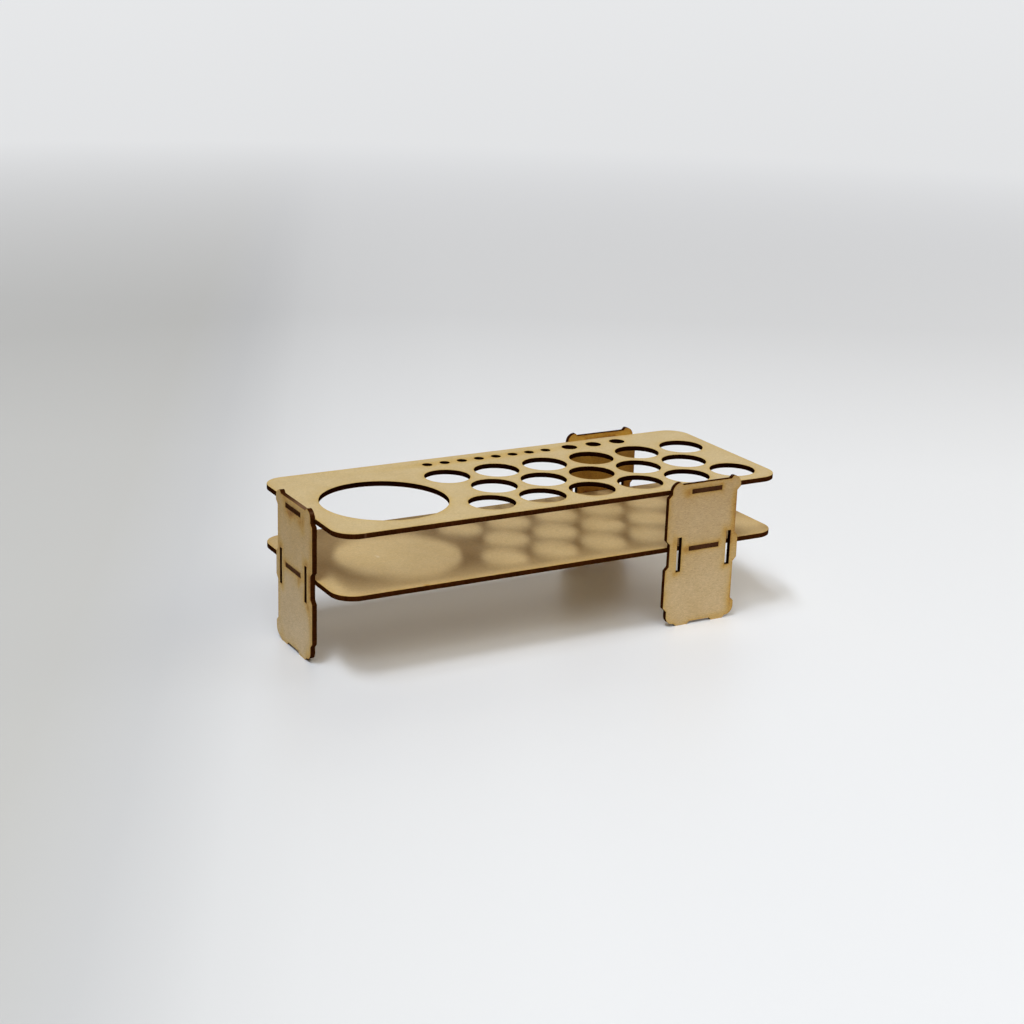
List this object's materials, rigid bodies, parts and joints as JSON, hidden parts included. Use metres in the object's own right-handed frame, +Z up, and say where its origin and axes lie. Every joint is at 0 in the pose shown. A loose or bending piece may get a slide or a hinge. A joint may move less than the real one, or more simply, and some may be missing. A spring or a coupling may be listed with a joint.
{
  "type": "paint shelf",
  "caption": "Low two-tier desk shelf cut from thin MDF: the upper tier has round holes for paint bottles, a water pot and brushes, the lower tier is plain, on slotted legs.",
  "frame": {"origin": "on the table, at the centre of the whole shelf's footprint", "axes": "+X along the length, away from the end leg and the pot hole; +Y from the front to the back, where the brush holes are; +Z up"},
  "size_m": [0.2744, 0.1116, 0.0836],
  "materials": {
    "mdf_upper_tier": "raw 3 mm MDF, fine fibres, smoke-browned beside dark laser-cut edges",
    "mdf_lower_tier": "raw 3 mm MDF, fine fibres, dark laser-cut edges",
    "mdf_leg": "raw 3 mm MDF, slightly browner, with scorch marks beside slots and edges"
  },
  "bodies": {
    "root": {"upper_tier": "mdf_upper_tier", "lower_tier": "mdf_lower_tier", "front_leg": "mdf_leg", "rear_leg": "mdf_leg", "left_leg": "mdf_leg"}
  },
  "joints": []
}
